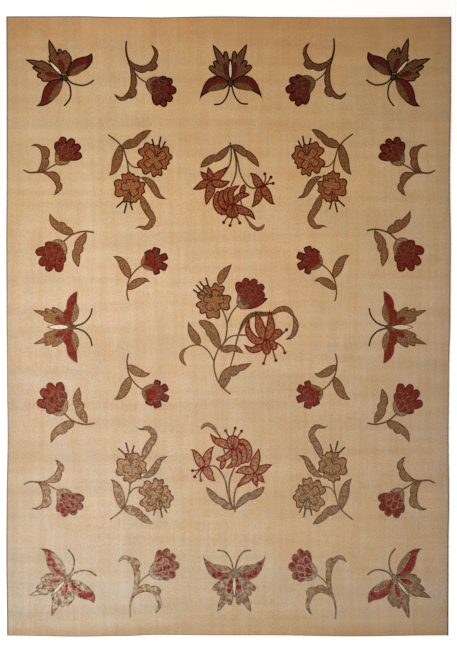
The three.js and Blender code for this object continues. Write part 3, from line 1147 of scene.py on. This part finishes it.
lay_blade([(12, -40), (-10, -50), (-22, -64)], 14, 14, lily_silk, 1, 0.5, 0.5)
lily_petal([(-2, -68), (-27, -73), (-41, -57), (-43, -38), (-36, -15)], 10, 0, tip=0.35)
lily_petal([(2, -58), (-20, -59), (-30, -43), (-28, -26), (-24, -12)], 10, 2, tip=0.35)
lily_petal([(1, -54), (-12, -40), (-16, -22), (-6, -5)], 10.5, 4, tip=0.45)
lily_petal([(1, -56), (-4, -30), (0, -13), (21, 0)], 9.5, 6, tip=0.8)
lily_petal([(24, -30), (29, -12), (34, 3)], 8.5, 2, tip=0.6)
lily_petal([(0, -54), (14, -35), (27, -27), (48, -25)], 9.5, 4, tip=0.6)
lily_petal([(1, -55), (26, -67), (48, -75), (64, -94)], 12.5, 4)
lily_petal([(0.5, -48), (0.5, -70), (0.5, -89)], 18, 8, tip=0.35)
for end in ((-10, -83), (-3, -86), (5, -86), (12, -82)):
    strand([(1, -52), end], FILAMENT_WIDTH, crimson_line, 11)
dot((1, -53), LILY_HEART, crimson_line, 12)
stamen([(-11, -83), (-23, -100)])
stamen([(2, -86), (-5.5, -108)])
stamen([(11.5, -83), (21, -101)])
lily_petal([(84, -8), (70, 8), (62, 23), (48, 34)], 13, 0)
lily_petal([(84, 0), (74, -22), (68, -40), (60, -52), (52, -60)], 13, 2)
lily_petal([(80, 0), (93, -21), (102, -37), (109, -47), (118, -51)], 12.5, 4)
stamen([(82, -4), (91, 16), (89, 31)])
stamen([(82, -4), (97, 9), (106, 22)])
stamen([(82, -4), (100, 4.5), (112, 5.5)])
dot((82, -4), LILY_HEART, crimson_line, 8)
knot_in("lily_spray", [
    ("upper", 0.023, 0.966, 0, False, 0.99, 1),
    ("lower", 0.031, -0.973, 180, False, 0.98, 1.01),
])


# The carnation sprigs: a small crimson carnation with five square-ended petals and a ruffle of olive line, on
# a curved stem with two plain leaves.
stem = [(-38, -77), (-42, -62), (-42, -46), (-39, -27), (-33, -13), (-23, 1), (-12, 11.5), (0, 19)]
strand(stem, 4)
leaf([(-34, -17), (-43, 2), (-50, 16), (-57, 29), (-67, 38), (-80, 43)], 13, 13.5, 0.7, 1.0)
lower_leaf = [(-41, -47), (-29, -37), (-18, -29), (-6, -24), (6, -21), (20, -25)]
leaf(lower_leaf, 11.5, 12, 0.7, 1.0)
heart = (28, 29)
rays = [((12, 59), 12), ((39, 67), 11.5), ((67, 45), 10.5), ((65, 11), 11), ((40, -6), 9.5)]
head = []
for end, half in rays:
    halfway = [(a + b) / 2 for a, b in zip(heart, end)]
    head.append(([heart, halfway, end], half, half, 0.35, 0.14))
head.append(([(1, 19), (16, 23), (44, 34)], 24, 24, 0.7, 0.4))
clump(head, (red_silk, dark_line), 0, LINE)
strand([(24, 47), (39, 48), (44, 41), (34, 32), (47, 30), (50, 24), (40, 15)], 2.2, olive_line, 3)
petal([(0, 15), (1, 31), (9, 51)], 5.5, brown_leaf, 4, base=0.5, tip=0.9, line=FINE_LINE)
petal([(-1, 18), (14, 12), (35, 3)], 6, brown_leaf, 6, base=0.5, tip=0.9, line=FINE_LINE)
knot_in("carnation", [
    ("upper_left", -0.589, 0.371, 0, False, 1, 1),
    ("upper_right", 0.633, 0.375, 0, True, 0.97, 1.03),
    ("lower_left", -0.585, -0.384, 181, True, 1.01, 1.03),
    ("lower_right", 0.634, -0.387, 180, False, 0.99, 1.03),
])


# The middle spray: a rust blossom, a crimson tulip and a freckled lily on one branching stem, with long waved
# leaves, a tendril and one leaf that bows over to the right.
# Paler towards the bottom end partly as painted sheen, like every silk.
BRANCH_SHADES = [(0.08, "7d6040"), (0.27, "7a5c3c"), (0.55, "7a5634"), (0.92, "4c2c20")]
branch_brown = silk("branch_brown", BRANCH_SHADES)
strand([(-15, -185), (-35, -168), (-52, -143), (-60, -110), (-57, -86), (-47, -61)], 4)
strand([(-60, -96), (-72, -73), (-87, -58), (-105, -52), (-125, -56), (-138, -65)], 3.5)
strand([(-42, -60), (-29, -37), (-25, -11), (-25, 7), (-30, 27), (-38, 43)], 4)
strand([(-25, 3), (-17, 24), (-7, 42), (9, 58)], 4)
strand([(-36, -52), (-20, -33), (0, -26), (30, -26)], 4)
strand([(-16, -110), (-5, -73), (1, -43), (10, -13), (25, 14)], 3.5, taper=-0.5)
branch = [(6, -26), (21, 9), (45, 30), (79, 31), (108, 34)]
leaf(branch, 7, 7, 0.6, 0.4, yarns=(branch_brown, brown_line), level=1)
leaf([(-134, -59), (-146, -77), (-144, -94), (-133, -109)], 4.5, 7.5, 0.8, 0.9, line=FINE_LINE)
leaf([(-98, -52), (-111, -31), (-122, -13), (-129, 11)], 12.5, 12.5, 0.6, 1.1)
side_leaf = [(-44, -62), (-55, -39), (-65, -18), (-78, 0), (-101, 12)]
leaf(side_leaf, 16.5, 15.5, 0.6, 0.6, ((0.4, 0.66), ()), depth=SOFT_SCALLOP)
leaf([(-44, -64), (-22, -63), (0, -63), (20, -75)], 11.5, 12, 0.6, 0.95, ((), (0.5,)), level=2)
leaf([(92, 30), (110, 41), (129, 46), (145, 39), (158, 18)], 8, 8.5, 0.8, 0.9, level=1)
leaf([(153, 32), (162, 4.5), (158, -17), (149, -31), (132, -38)], 7, 9, 0.8, 0.9, level=2)
root_leaf = [(-36, -170), (-33, -149), (-23, -131), (-5, -119), (18, -112), (42, -101)]
leaf(root_leaf, 17, 17.5, 0.6, 0.95, ((0.66,), (0.4, 0.68)))
leaf([(-44, 109), (-40, 129), (-27, 149), (-11, 166)], 12, 12.5, 0.7, 1.1)
blossom(
    centre=(-62, 67),
    core=31,
    petals=[(68, 53, 33), (352, 53, 41), (270, 54, 36), (210, 52, 34), (137, 50, 46)],
    arms=[(74, 31), (8, 30), (296, 30), (238, 30), (160, 27)],
    stamens=[
        ((-66, 74), (-98, 84), (-116, 97)), ((-66, 77), (-94, 95), (-108, 110)),
        ((-64, 78), (-86, 103), (-99, 119)), ((-62, 78), (-75, 108), (-82, 130)),
    ],
)
petal([(14, 50), (34, 55), (58, 63), (86, 74)], 12.5, (red_silk, dark_line), 2, base=0.7, tip=0.9)
tulip(
    base=(10, 51),
    heading=56,
    outer=[(36, 68, 11), (20, 80, 11.5), (4, 86, 12), (-13, 87, 12.5), (-27, 76, 12)],
    inner=[(26, 50, 9), (10, 60, 9.5), (-6, 64, 9.5), (-22, 58, 9.5)],
    small=[(18, 36, 8), (2, 44, 8), (-14, 42, 8)],
    calyx=[(26, 17), (11, 11), (3, 0), (6, -11), (20, -19)],
    line=2.6,
    rim=dull_line,
)
lily_petal([(84, -40), (60, -60), (40, -65), (20, -50)], 11.5, 2)
lily_petal([(82, -40), (55, -41), (37, -24), (31, -3), (37, 21)], 11.5, 4)
lily_petal([(84, -40), (66, -10), (61, 12), (52, 40)], 14.5, 6)
lily_petal([(80, -40), (92, -10), (93, 12), (90, 42)], 13, 8)
lily_petal([(79, -41), (103, -25), (124, -14)], 13, 6, tip=0.4)
lily_petal([(80, -34), (94, -48), (108, -64)], 12, 4, tip=0.4)
lily_petal([(82, -32), (82, -55), (83, -79)], 12.5, 8, tip=0.4)
for end in ((77, -72), (88, -72)):
    strand([(82, -40), end], FILAMENT_WIDTH, crimson_line, 10)
dot((82, -39), LILY_HEART, crimson_line, 11)
stamen([(119, -28), (136, -11)], 7)
stamen([(108, -46), (124, -57), (131, -73)], 7)
stamen([(97, -61), (107, -94)], 7)
stamen([(82, -75), (74, -102)], 7)
knot_in("middle", [("spray", 0.051, 0.006, 0, False, 1, 1)])


# The setting: a plain pale floor, a white sky, one soft light from the lower left and a camera straight above
# the rug, as high as its lens asks for.
FLOOR_SIZE = 60
SKY_STRENGTH = 0.9
LIGHT_PLACE = (-3.0, -2.6, 5.0)
LIGHT_AIM = (-0.2, 0, 0)
LIGHT_SIZE = 3.0
LIGHT_POWER = 190
PICTURE_HEIGHT_PX = 659
METRES_PER_PIXEL = 0.006846
CAMERA_LENS = 70
SENSOR = 36
CAMERA_X = -0.0014
CAMERA_Y = -0.0205
CAMERA_Z = FIELD_TOP + PICTURE_HEIGHT_PX * METRES_PER_PIXEL * CAMERA_LENS / SENSOR

deselect_all()
bpy.ops.mesh.primitive_plane_add(size=FLOOR_SIZE, location=(0, 0, 0))
floor = bpy.context.object
floor.name = "floor"
floor_finish, floor_surface = finish_of("floor_paint", 0.9)
floor_surface.inputs["Base Color"].default_value = dyed("f6f5f2")
floor.data.materials.append(floor_finish)

world = bpy.data.worlds.new("studio")
bpy.context.scene.world = world
world.use_nodes = True
world.node_tree.nodes["Background"].inputs["Color"].default_value = (1, 1, 1, 1)
world.node_tree.nodes["Background"].inputs["Strength"].default_value = SKY_STRENGTH

deselect_all()
bpy.ops.object.light_add(type="AREA", location=LIGHT_PLACE)
light = bpy.context.object
light.name = "soft_light"
light.data.shape = "SQUARE"
light.data.size = LIGHT_SIZE
light.data.energy = LIGHT_POWER
light_way = Vector(LIGHT_AIM) - Vector(LIGHT_PLACE)
light.rotation_euler = light_way.to_track_quat("-Z", "Y").to_euler()

deselect_all()
bpy.ops.object.camera_add(location=(CAMERA_X, CAMERA_Y, CAMERA_Z), rotation=(0, 0, 0))
camera = bpy.context.object
camera.data.lens = CAMERA_LENS
camera.data.sensor_width = SENSOR
bpy.context.scene.camera = camera
bpy.context.scene.view_settings.view_transform = "Standard"
